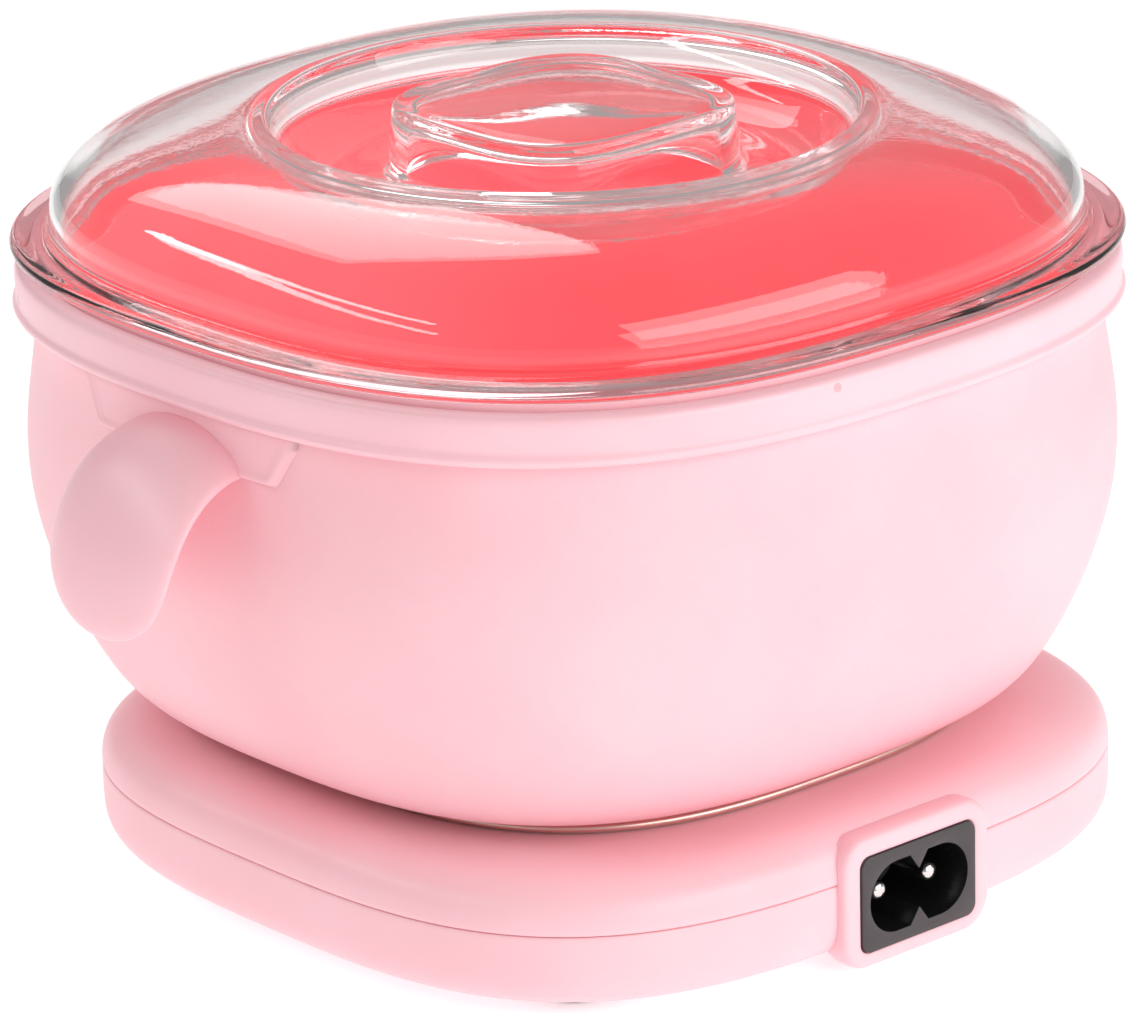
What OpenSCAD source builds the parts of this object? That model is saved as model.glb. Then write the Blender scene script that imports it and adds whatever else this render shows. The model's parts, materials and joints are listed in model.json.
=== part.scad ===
// Square wax warmer pot: soft pot with two handles and a clear lid, on a heated base.
// Millimetres, +Z up, origin on the pot's axis at the table. Inlet at +Y, button at -Y,
// handles at +X and -X.

/* [Base housing] */
// Half of the base's side to side width
base_half_x = 57.6; // [56:0.1:60]
// Half of the base's front to back depth
base_half_y = 55.7; // [54:0.1:58]
// Corner squareness of the base, 2 is a circle
base_power = 3.14; // [2.9:0.02:3.6]
// How far the base's middle sits behind the pot's axis
base_shift = 4.9; // [3:0.1:6]
// Underside of the base above the table
base_floor = 2.0; // [1.8:0.1:2.6]
// Height of the seam between the two housing halves
seam_height = 12.2; // [11.8:0.1:12.6]
// Height of the base's flat top
base_top = 18.4; // [18.2:0.1:18.8]
// Wall of both housing halves
base_wall = 2.0; // [1.6:0.1:2.2]

/* [Heating plate] */
// Half width of the plate's rounded edge
plate_half = 44.5; // [44:0.1:45]
// How far the plate's middle sits behind the pot's axis
plate_shift = 2.2; // [1.8:0.1:3]
// Plate edge thickness above the housing
plate_edge = 1.5; // [1.4:0.1:1.8]
// Half width of the mica heater
heater_half = 30; // [26:0.5:31]

/* [Pot] */
// Half width of the rim collar
rim_half = 64.1; // [63.6:0.1:65]
// Squareness of the rim, 2 is a circle
rim_power = 2.65; // [2.5:0.05:2.9]
// Height of the rim the lid rests on
rim_height = 79.4; // [78:0.1:82]
// How far each handle reaches out from the pot wall
handle_reach = 15.5; // [13:0.5:17]
// Width of each handle tab
handle_width = 25; // [24:1:26]

/* [Lid] */
// Radius of the raised ring on the lid
ring_radius = 37.7; // [36:0.1:39]
// Height of the raised ring above the rim
lid_rise = 16.2; // [15:0.1:18]
// Half width of the square knob
knob_half = 18.5; // [17:0.1:19]

/* [Inlet] */
// Height of the inlet's middle above the table
inlet_height = 8.9; // [8.8:0.1:9]
// Distance between the two inlet pins
pin_pitch = 8.6; // [8.5:0.1:8.7]
// Diameter of each inlet pin
pin_size = 2.4; // [2.3:0.1:2.4]

/* [Button] */
// Radius of the power button
button_radius = 3.6; // [3:0.1:3.8]
// How far the button goes in
button_travel = 0.5; // [0.3:0.1:0.6]

/* [Hidden] */
ring_points = 64;
$fn = 40;
seam_groove = 0.25;
shoulder_run = 8.0;
bottom_round = 4.7;
bottom_plate = 2.2;
plate_power = 2.8;
plate_top = base_top + plate_edge;
plate_opening = plate_half - 3.3;
plate_core = plate_opening - 0.7;
core_depth = 2.7;
gasket_depth = 0.8;
gasket_inner = plate_opening + 0.9;
gasket_outer = plate_half - 0.9;
core_bottom = base_top - core_depth;
heater_bottom = core_bottom - 1.0;
pad_bottom = heater_bottom - 2.0;
clamp_bottom = pad_bottom - 1.0;
clamp_screw_at = 21;
clamp_bore = 1.5;
sensor_hole = 4.2;
front_wall = base_shift - base_half_y;
rear_wall = base_shift + base_half_y;
inlet_boss_width = 24.8;
inlet_boss_height = 17.2;
inlet_face = rear_wall + 1.2;
inlet_boss_middle = 0.5 + inlet_boss_height / 2;
socket_width = 19.2;
socket_height = 12.4;
socket_depth = 17.5;
cavity_width = 16.6;
cavity_height = 9.2;
cavity_depth = 12.5;
cavity_floor = inlet_face - cavity_depth;
shank_radius = 1.0;
button_boss_width = 30;
button_boss_height = 14.4;
button_height = 9.2;
button_face = front_wall - 1.5;
bezel_front = button_face - 0.5;
bezel_back = button_face + 0.7;
screw_x = 47;
screw_y = 20;
foot_x = 37;
foot_y = 35;
led_x = 9;
board_bottom = 5.6;
board_top = board_bottom + 1.6;
board_back = -30.5;
board_front = -41.3;
board_half = 26;
button_board_front = -43.6;
pot_bottom = plate_top + 0.04;
pocket_half = 38;
pocket_depth = 1.6;
lid_seat = rim_height;
collar_bottom = rim_height - 8.0;
collar_top = rim_height - 1.5;
ring_height = rim_height + lid_rise;
handle_z = collar_bottom - 0.1;

// ---------- shared shapes ----------

// a ring is [half x, half y, squareness, height, shift along y]
function ring_point(ring, i) =
  let (t = 360 * i / ring_points, c = cos(t), s = sin(t))
  let (n = ring[2])
  let (r = 1 / pow(pow(abs(c / ring[0]), n) + pow(abs(s / ring[1]), n), 1 / n))
  [r * c, ring[4] + r * s, ring[3]];

function base_ring(growth, z) = [base_half_x + growth, base_half_y + growth, base_power, z, base_shift];
function plate_ring(half, z) = [half, half, plate_power, z, plate_shift];
function pot_ring(half, n, z) = [half, half, n, z, 0];

// skin over a list of rings, walked with the solid on the left of the section
module loft(rings, closed = false) {
  count = len(rings);
  bands = closed ? count : count - 1;
  points = [for (ring = rings, i = [0 : ring_points - 1]) ring_point(ring, i)];
  sides = [for (k = [0 : bands - 1], i = [0 : ring_points - 1], half = [0, 1])
    let (a = k * ring_points, b = ((k + 1) % count) * ring_points, j = (i + 1) % ring_points)
    half == 0 ? [a + i, b + i, b + j] : [a + i, b + j, a + j]];
  first_cap = [for (i = [0 : ring_points - 1]) i];
  last_cap = [for (i = [ring_points - 1 : -1 : 0]) (count - 1) * ring_points + i];
  polyhedron(points, closed ? sides : concat(sides, [first_cap, last_cap]), convexity = 8);
}

// flat rounded square slab on the plate's middle
module slab(half, z, thick) {
  translate([0, plate_shift, z])
    linear_extrude(thick)
      polygon([for (i = [0 : ring_points - 1])
        let (p = ring_point([half, half, 4, 0, 0], i)) [p[0], p[1]]]);
}

// rounded block lying along y, given by its middle in x and z and its two y faces
module block_y(width, height, x, z, y0, y1, corner) {
  translate([x, y1, z])
    rotate([90, 0, 0])
      linear_extrude(y1 - y0)
        rounded_rect(width, height, corner);
}

module rounded_rect(width, height, corner) {
  square([width - 2 * corner, height], center = true);
  square([width, height - 2 * corner], center = true);
  for (sx = [-1, 1], sy = [-1, 1])
    translate([sx * (width / 2 - corner), sy * (height / 2 - corner)])
      circle(corner);
}

module rod_y(radius, x, z, y0, y1) {
  translate([x, y1, z])
    rotate([90, 0, 0])
      cylinder(h = y1 - y0, r = radius);
}

module at_four(dx, dy, cy) {
  for (sx = [-1, 1], sy = [-1, 1])
    translate([sx * dx, cy + sy * dy, 0])
      children();
}

// round wire through a list of points
module wire(path, radius) {
  for (i = [0 : len(path) - 2])
    let (v = path[i + 1] - path[i], length = norm(v)) {
      translate(path[i])
        rotate([0, acos(v[2] / length), atan2(v[1], v[0])])
          cylinder(h = length, r = radius, $fn = 12);
      if (i > 0)
        translate(path[i])
          sphere(radius, $fn = 12);
    }
}

// ---------- base housing ----------

module base_bottom_housing() {
  color("pink") difference() {
    union() {
      loft([base_ring(-30, base_floor), base_ring(-bottom_round, base_floor),
        base_ring(-2.4, base_floor + 0.6), base_ring(-0.9, base_floor + 1.9),
        base_ring(-0.1, base_floor + 3.6), base_ring(0, base_floor + bottom_round),
        base_ring(0, seam_height - seam_groove - 0.05), base_ring(-seam_groove, seam_height - 0.05),
        base_ring(-base_wall, seam_height - 0.05), base_ring(-base_wall, base_floor + bottom_round),
        base_ring(-base_wall - 1.2, base_floor + bottom_plate + 0.9),
        base_ring(-base_wall - 3.4, base_floor + bottom_plate),
        base_ring(-34, base_floor + bottom_plate)]);
      at_four(screw_x, screw_y, base_shift)
        translate([0, 0, base_floor])
          cylinder(h = seam_height - base_floor - 2.4, r = 3.8);
      board_posts();
      // locating rib each side of the button board
      for (sx = [-1, 1])
        translate([sx * 14.1 - 0.9, button_board_front, base_floor + 1])
          cube([1.8, 1.6, 4.4]);
    }
    at_four(screw_x, screw_y, base_shift) {
      translate([0, 0, base_floor - 1])
        cylinder(h = 4.2, r = 3.1);
      cylinder(h = 20, r = 1.65);
    }
    at_four(foot_x, foot_y, base_shift)
      translate([0, 0, base_floor - 1])
        cylinder(h = 1.9, r = 5.05);
    for (sx = [-1, 1])
      translate([sx * 21, -36, board_bottom - 3])
        cylinder(h = 4, r = 1.15);
    block_y(inlet_boss_width + 0.2, inlet_boss_height + 0.2, 0, inlet_boss_middle,
      rear_wall - 4.2, rear_wall + 5, 4.1);
    // bed for the socket's lower half
    block_y(socket_width + 0.2, socket_height + 0.2, 0, inlet_height,
      inlet_face - socket_depth - 0.1, rear_wall, 1.6);
    button_flange_room(front_wall + 2.5);
    block_y(button_boss_width + 0.2, button_boss_height + 0.2, 0, button_height,
      front_wall - 5, front_wall + 2.7, 4.1);
    air_slots();
  }
}

// room for the flange that keeps the button in
module button_flange_room(start) {
  rod_y(button_radius + 1.25, 0, button_height, start, front_wall + 4.3);
}

module board_posts() {
  for (sx = [-1, 1])
    translate([sx * 21, -36, base_floor + 1])
      cylinder(h = board_bottom - base_floor - 1.05, r = 2.6);
}

// six cooling slots through the bottom
module air_slots() {
  for (i = [-2.5 : 1 : 2.5])
    translate([i * 7 - 1, -9, base_floor - 1])
      cube([2, 22, 5]);
}

module base_top_housing() {
  color("pink") difference() {
    union() {
      loft([base_ring(-seam_groove, seam_height), base_ring(0, seam_height + seam_groove),
        base_ring(-0.1, base_top - 4.4), base_ring(-0.37, base_top - 3.3),
        base_ring(-0.95, base_top - 2.2), base_ring(-1.83, base_top - 1.4),
        base_ring(-3.0, base_top - 0.7), base_ring(-4.5, base_top - 0.25),
        base_ring(-shoulder_run, base_top), plate_ring(gasket_outer, base_top),
        plate_ring(gasket_outer, base_top - gasket_depth), plate_ring(gasket_inner, base_top - gasket_depth),
        plate_ring(gasket_inner, base_top), plate_ring(plate_opening, base_top),
        plate_ring(plate_opening, base_top - base_wall - 0.4),
        base_ring(-shoulder_run - 0.8, base_top - base_wall - 0.4),
        base_ring(-5.4, base_top - base_wall - 1.0), base_ring(-base_wall - 1.2, base_top - 4.4),
        base_ring(-base_wall, seam_height)], closed = true);
      at_four(screw_x, screw_y, base_shift)
        translate([0, 0, seam_height - 2.4])
          cylinder(h = base_top - 1.8 - seam_height + 2.4, r = 3.4);
      inlet_boss();
      button_boss();
    }
    at_four(screw_x, screw_y, base_shift)
      translate([0, 0, seam_height - 3])
        cylinder(h = 5.4, r = 1.25);
    // opening for the inlet socket
    block_y(socket_width + 0.1, socket_height + 0.1, 0, inlet_height, rear_wall - 12, rear_wall + 5, 1.55);
    // recess for the control bezel, bore for the button, two light holes
    block_y(26.1, 11.1, 0, button_height, button_face - 1, bezel_back, 3.05);
    rod_y(button_radius + 0.08, 0, button_height, button_face - 2, front_wall + 6);
    button_flange_room(front_wall + 2.7);
    for (sx = [-1, 1])
      rod_y(1.25, sx * led_x, button_height, button_face - 2, front_wall + 6);
  }
}

// both bosses have a stepped front edge
module inlet_boss() {
  block_y(inlet_boss_width, inlet_boss_height, 0, inlet_boss_middle, rear_wall - 3.9, inlet_face - 0.4, 4);
  block_y(inlet_boss_width - 0.6, inlet_boss_height - 0.6, 0, inlet_boss_middle,
    inlet_face - 0.5, inlet_face, 3.7);
}

module button_boss() {
  block_y(button_boss_width, button_boss_height, 0, button_height, button_face + 0.4, front_wall + 2.5, 4);
  block_y(button_boss_width - 0.6, button_boss_height - 0.6, 0, button_height,
    button_face, button_face + 0.5, 3.7);
}

module housing_screws() {
  color("silver") at_four(screw_x, screw_y, base_shift) {
    translate([0, 0, base_floor + 1.2]) difference() {
      cylinder(h = 2.0, r = 2.8);
      translate([0, 0, -0.5])
        rotate(45)
          cross_recess();
    }
    translate([0, 0, base_floor + 3.1])
      cylinder(h = seam_height - base_floor - 1.4, r = 1.25);
  }
}

module cross_recess() {
  translate([-1.5, -0.35, 0])
    cube([3, 0.7, 1.4]);
  translate([-0.35, -1.5, 0])
    cube([0.7, 3, 1.4]);
}

module rubber_feet() {
  color("dimgray") at_four(foot_x, foot_y, base_shift) {
    cylinder(h = 0.5, r1 = 4.3, r2 = 4.9);
    translate([0, 0, 0.5])
      cylinder(h = base_floor + 0.4, r = 4.9);
  }
}

// ---------- heating stack ----------

module heating_plate() {
  color("gold") difference() {
    loft([plate_ring(15, core_bottom), plate_ring(plate_core, core_bottom),
      plate_ring(plate_core, base_top + 0.02), plate_ring(plate_half - 0.7, base_top + 0.02),
      plate_ring(plate_half - 0.15, base_top + 0.3), plate_ring(plate_half, base_top + 0.9),
      plate_ring(plate_half - 0.3, plate_top - 0.45), plate_ring(plate_half - 1.1, plate_top),
      plate_ring(15, plate_top)]);
    at_four(clamp_screw_at, clamp_screw_at, plate_shift)
      translate([0, 0, core_bottom - 1])
        cylinder(h = 3.6, r = clamp_bore);
  }
}

module plate_gasket() {
  color("white") difference() {
    loft([plate_ring(gasket_outer - 0.05, base_top - gasket_depth + 0.02),
      plate_ring(gasket_outer - 0.05, base_top)]);
    loft([plate_ring(gasket_inner + 0.05, base_top - gasket_depth - 1),
      plate_ring(gasket_inner + 0.05, base_top + 1)]);
  }
}

module stack_holes(bottom) {
  at_four(clamp_screw_at, clamp_screw_at, plate_shift)
    translate([0, 0, bottom - 1])
      cylinder(h = 6, r = 1.75);
  translate([0, plate_shift, bottom - 1])
    cylinder(h = 6, r = sensor_hole);
}

module heater_element() {
  color("peru") difference() {
    slab(heater_half, heater_bottom + 0.02, 0.96);
    stack_holes(heater_bottom);
  }
}

module heater_terminals() {
  color("goldenrod") for (sx = [-1, 1]) {
    translate([sx * 8 - 2.4, plate_shift - heater_half - 4, heater_bottom + 0.3])
      cube([4.8, 3.9, 0.5]);
    translate([sx * 8 - 1, plate_shift - heater_half - 4, heater_bottom - 0.5])
      cube([2, 1.2, 1]);
  }
}

module insulation_pad() {
  color("white") difference() {
    slab(heater_half + 0.6, pad_bottom + 0.02, 1.96);
    stack_holes(pad_bottom);
  }
}

module clamp_plate() {
  color("silver") difference() {
    slab(heater_half + 1, clamp_bottom, 1);
    stack_holes(clamp_bottom);
  }
}

module clamp_screws() {
  color("silver") at_four(clamp_screw_at, clamp_screw_at, plate_shift) {
    translate([0, 0, clamp_bottom - 2]) difference() {
      cylinder(h = 1.98, r = 2.8);
      translate([0, 0, -0.4])
        cross_recess();
    }
    translate([0, 0, clamp_bottom - 0.1])
      cylinder(h = core_bottom + 2.4 - clamp_bottom, r = 1.46);
  }
}

module temperature_sensor() {
  color("lightgray") translate([0, plate_shift, 0]) {
    translate([0, 0, clamp_bottom - 1.2])
      cylinder(h = 1.18, r = 5.6);
    translate([0, 0, clamp_bottom - 0.1])
      cylinder(h = core_bottom - clamp_bottom + 0.06, r = 3.9);
  }
}

module thermal_fuse() {
  color("tan") translate([0, 14, clamp_bottom - 2.1]) {
    rotate([0, 90, 0])
      translate([0, 0, -6])
        cylinder(h = 12, r = 2);
    for (sx = [-1, 1])
      translate([sx * 9 - 3.5, 0, 0])
        rotate([0, 90, 0])
          cylinder(h = 7, r = 0.5);
  }
}

// ---------- electronics ----------

module control_board() {
  color("darkgreen") difference() {
    translate([-board_half, board_front, board_bottom])
      cube([2 * board_half, board_back - board_front, 1.6]);
    for (sx = [-1, 1])
      translate([sx * 21, -36, board_bottom - 1])
        cylinder(h = 4, r = 1.7);
  }
}

module board_screws() {
  color("silver") for (sx = [-1, 1])
    translate([sx * 21, -36, 0]) {
      translate([0, 0, board_top + 0.02]) difference() {
        cylinder(h = 1.6, r = 2.3);
        translate([0, 0, 0.7])
          cross_recess();
      }
      translate([0, 0, board_bottom - 2.6])
        cylinder(h = 4.4, r = 1.1);
    }
}

module film_capacitor() {
  color("royalblue") translate([-16.5, -40.2, board_top + 0.05])
    cube([13, 5.4, 6.2]);
}

module triac() {
  color("dimgray") {
    translate([-1, -39.9, board_top + 0.4])
      cube([7.6, 3.4, 5.4]);
    for (i = [0 : 2])
      translate([0.4 + i * 2.2, -38.6, board_top + 0.05])
        cube([0.8, 0.8, 0.8]);
  }
}

module terminal_block() {
  color("seagreen") difference() {
    translate([9.2, -40.4, board_top + 0.05])
      cube([9, 7.6, 6]);
    for (i = [0, 1])
      rod_y(1.15, 11.5 + i * 4.4, board_top + 2.4, -36.6, -30);
  }
}

module button_board() {
  color("darkgreen")
    translate([-13, button_board_front, base_floor + bottom_plate + 0.1])
      cube([26, 1.6, 9.4]);
}

module push_switch() {
  color("black") {
    translate([-3, button_board_front - 2.6, button_height - 3])
      cube([6, 2.58, 6]);
    rod_y(1.6, 0, button_height, button_board_front - 3.1, button_board_front - 2.5);
  }
}

module status_leds() {
  color("white") for (sx = [-1, 1]) {
    rod_y(1.9, sx * led_x, button_height, button_board_front - 0.9, button_board_front - 0.02);
    rod_y(1.5, sx * led_x, button_height, button_board_front - 2.6, button_board_front - 0.8);
    translate([sx * led_x, button_board_front - 2.6, button_height])
      sphere(1.5, $fn = 24);
  }
}

module led_lenses() {
  color("white") for (sx = [-1, 1])
    rod_y(1.2, sx * led_x, button_height, bezel_front - 0.1, front_wall + 3.0);
}

module control_bezel() {
  color("gainsboro") difference() {
    block_y(26, 11, 0, button_height, bezel_front, bezel_back - 0.02, 3);
    rod_y(button_radius + 0.15, 0, button_height, bezel_front - 1, bezel_back + 1);
    for (sx = [-1, 1])
      rod_y(1.25, sx * led_x, button_height, bezel_front - 1, bezel_back + 1);
  }
}

module power_button() {
  color("white") {
    rod_y(button_radius, 0, button_height, bezel_front - 0.9, front_wall + 2.9);
    rod_y(button_radius - 0.4, 0, button_height, bezel_front - 1.2, bezel_front - 0.8);
    rod_y(button_radius + 1, 0, button_height, front_wall + 2.8, front_wall + 3.5);
    rod_y(1.3, 0, button_height, front_wall + 3.4, button_board_front - 3.1 - button_travel);
  }
}

// ---------- inlet ----------

// figure of eight: two round ends joined, with a notch top and bottom
module eight(width, height) {
  difference() {
    union() {
      for (sx = [-1, 1])
        translate([sx * (width - height) / 2, 0])
          circle(height / 2);
      square([width - height, height], center = true);
    }
    for (sy = [-1, 1])
      translate([0, sy * height / 2])
        polygon([[-1.5, sy * 0.2], [1.5, sy * 0.2], [0, -sy * 2.1]]);
  }
}

module inlet_socket() {
  back = inlet_face - socket_depth;
  color("dimgray") difference() {
    union() {
      block_y(socket_width, socket_height, 0, inlet_height, inlet_face - 5, inlet_face + 0.15, 1.5);
      block_y(socket_width - 0.6, socket_height - 0.6, 0, inlet_height, back, inlet_face - 4.9, 1.2);
    }
    translate([0, inlet_face + 1, inlet_height])
      rotate([90, 0, 0])
        linear_extrude(cavity_depth + 1)
          eight(cavity_width, cavity_height);
    for (sx = [-1, 1])
      rod_y(shank_radius + 0.02, sx * pin_pitch / 2, inlet_height, back - 1, inlet_face);
  }
}

module inlet_pins() {
  back = inlet_face - socket_depth;
  color("silver") for (sx = [-1, 1]) {
    rod_y(pin_size / 2, sx * pin_pitch / 2, inlet_height, cavity_floor + 0.1, inlet_face - 2.6);
    rod_y(shank_radius, sx * pin_pitch / 2, inlet_height, back - 1.5, cavity_floor + 0.2);
    rod_y(pin_size / 2 - 0.4, sx * pin_pitch / 2, inlet_height, inlet_face - 2.7, inlet_face - 2.1);
    translate([sx * pin_pitch / 2 - 0.4, back - 4.6, inlet_height - 1.2])
      cube([0.8, 3.4, 2.4]);
  }
}

// ---------- wiring ----------

module mains_wires() {
  tag = inlet_face - socket_depth - 5.35;
  landing = board_top + 2.4;
  color("saddlebrown") {
    wire([[pin_pitch / 2, tag, inlet_height], [5.8, tag - 3.4, 5.6], [36, 31, 5.6], [37.2, 22, 5.6],
      [37.2, -18, 5.6], [30.4, -27, 6.2], [13, -28.2, 6.4], [11.5, -28.8, landing - 0.3],
      [11.5, -36.4, landing]], 1.0);
    wire([[-pin_pitch / 2, tag, inlet_height], [-3, tag - 3.4, 8.2], [34.8, 29.6, 8.2], [37, 21, 8.2],
      [37, -18, 8.2], [30.4, -26.6, 9.4], [17, -28.2, landing], [15.9, -29.6, landing],
      [15.9, -36.4, landing]], 1.0);
  }
}

module heater_wires() {
  color("white") for (sx = [-1, 1])
    wire([[sx * 8, plate_shift - heater_half - 3.4, heater_bottom - 0.95],
      [sx * 8, -32.3, heater_bottom - 3], [sx * 8, -32.3, board_top + 0.1]], 0.9);
}

module sensor_wires() {
  low = clamp_bottom - 4.4;
  color("black") {
    for (sx = [-1, 1])
      wire([[sx * 1.6, plate_shift, clamp_bottom - 1.7], [sx * 1.6, plate_shift - 1.4, clamp_bottom - 2.2],
        [sx * 1.6, -29, clamp_bottom - 2.2], [sx * 1.6, -31.8, 8.8],
        [sx * 1.6, -31.8, board_top + 0.1]], 0.55);
    wire([[-13.1, 14, clamp_bottom - 2.1], [-16, 12, low], [-25.2, -20, low], [-24.8, -29, 8.6],
      [-24.6, -31.9, 8.6], [-24.6, -31.9, board_top + 0.1]], 0.7);
    wire([[13.1, 14, clamp_bottom - 2.1], [15, 11, low], [-19, -20, low], [-21.4, -29, 8.6],
      [-21.6, -31.9, 8.6], [-21.6, -31.9, board_top + 0.1]], 0.7);
  }
}

// ---------- pot ----------

module pot_shell() {
  color("pink") loft([pot_ring(15, 2.8, pot_bottom + pocket_depth), pot_ring(pocket_half, 2.8, pot_bottom + pocket_depth),
    pot_ring(pocket_half, 2.8, pot_bottom), pot_ring(46.2, 2.78, pot_bottom),
    pot_ring(49.6, 2.78, pot_bottom + 0.7), pot_ring(52.3, 2.78, pot_bottom + 2.2),
    pot_ring(54.3, 2.78, pot_bottom + 4.6), pot_ring(55.8, 2.78, pot_bottom + 7.6),
    pot_ring(57.4, 2.8, pot_bottom + 11.4), pot_ring(59.2, 2.8, pot_bottom + 16.4),
    pot_ring(60.9, 2.8, pot_bottom + 21.8), pot_ring(62.0, 2.8, pot_bottom + 27.2),
    pot_ring(62.4, 2.8, pot_bottom + 32.7), pot_ring(62.3, 2.78, pot_bottom + 38.2),
    pot_ring(61.8, 2.72, pot_bottom + 44.2), pot_ring(61.3, rim_power, pot_bottom + 50.2),
    pot_ring(61.3, rim_power, lid_seat - 0.5), pot_ring(61.0, rim_power, lid_seat - 0.06),
    pot_ring(60.0, rim_power, lid_seat - 0.06), pot_ring(59.7, rim_power, lid_seat - 0.5),
    pot_ring(59.4, rim_power, lid_seat - 6), pot_ring(59.3, rim_power, pot_bottom + 49.2),
    pot_ring(60.0, 2.78, pot_bottom + 35.2), pot_ring(59.0, 2.8, pot_bottom + 24.2),
    pot_ring(56.6, 2.8, pot_bottom + 16.2), pot_ring(53.9, 2.8, pot_bottom + 10),
    pot_ring(51.4, 2.78, pot_bottom + 6.2), pot_ring(48.2, 2.78, pot_bottom + 3.9),
    pot_ring(44, 2.78, pot_bottom + 3), pot_ring(15, 2.8, pot_bottom + 3)]);
}

module pot_base_insert() {
  color("silver") loft([pot_ring(15, 2.8, pot_bottom), pot_ring(pocket_half - 0.3, 2.8, pot_bottom),
    pot_ring(pocket_half - 0.05, 2.8, pot_bottom + 0.25), pot_ring(pocket_half - 0.05, 2.8, pot_bottom + pocket_depth - 0.05),
    pot_ring(15, 2.8, pot_bottom + pocket_depth - 0.05)]);
}

module rim_collar() {
  color("pink") loft([pot_ring(61.36, rim_power, collar_bottom), pot_ring(rim_half - 1.0, rim_power, collar_bottom),
    pot_ring(rim_half - 0.25, rim_power, collar_bottom + 0.35), pot_ring(rim_half, rim_power, collar_bottom + 1.0),
    pot_ring(rim_half - 0.3, rim_power, collar_bottom + 1.7), pot_ring(rim_half - 0.35, rim_power, collar_top - 0.8),
    pot_ring(rim_half - 0.8, rim_power, collar_top - 0.15), pot_ring(rim_half - 1.6, rim_power, collar_top),
    pot_ring(61.36, rim_power, collar_top)], closed = true);
}

// one handle in the +X direction: bracket under the collar and a tab curving out and down
module handle() {
  wall = 61.6;
  intersection() {
    difference() {
      union() {
        hull() {
          translate([wall - 4, -20.6, handle_z - 0.4])
            cube([4.9, 41.2, 0.4]);
          translate([wall - 4, -16.4, handle_z - 6.8])
            cube([4.9, 32.8, 0.4]);
        }
        tab();
      }
      loft([pot_ring(40, 2.8, handle_z - 40), pot_ring(62.46, 2.8, handle_z - 40),
        pot_ring(62.46, 2.8, pot_bottom + 38.2), pot_ring(61.9, 2.72, pot_bottom + 44.2),
        pot_ring(61.42, rim_power, pot_bottom + 50.2), pot_ring(61.42, rim_power, handle_z + 4)]);
    }
    translate([wall - 6, -30, handle_z - 40])
      cube([60, 60, 40]);
  }
}

// finger tab that curls out and down; each corner ball is shared by two stretches
module tab() {
  wall = 61.6;
  tip = wall + handle_reach;
  side = handle_width / 2 - 1.3;
  hull() {
    tab_balls(wall - 1, side - 0.9, handle_z - 4.8, 1.8);
    tab_balls(wall + 5, side - 0.3, handle_z - 6.0, 1.5);
  }
  hull() {
    tab_balls(wall + 5, side - 0.3, handle_z - 6.0, 1.5);
    tab_balls(wall + 10.6, side, handle_z - 12, 1.5);
  }
  hull() {
    tab_balls(wall + 10.6, side, handle_z - 12, 1.5);
    for (t = [-75 : 30 : 75])
      translate([tip - 1.5 - 2.8 * (1 - cos(t)), side * sin(t), handle_z - 19.6 - 6.2 * cos(t)])
        sphere(1.5, $fn = 16);
  }
}

module tab_balls(x, side, z, radius) {
  for (sy = [-1, 1])
    translate([x, sy * side, z])
      sphere(radius, $fn = 16);
}

module handle_right() {
  color("pink") handle();
}

module handle_left() {
  color("pink") mirror([1, 0, 0]) handle();
}

// ---------- lid ----------

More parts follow.
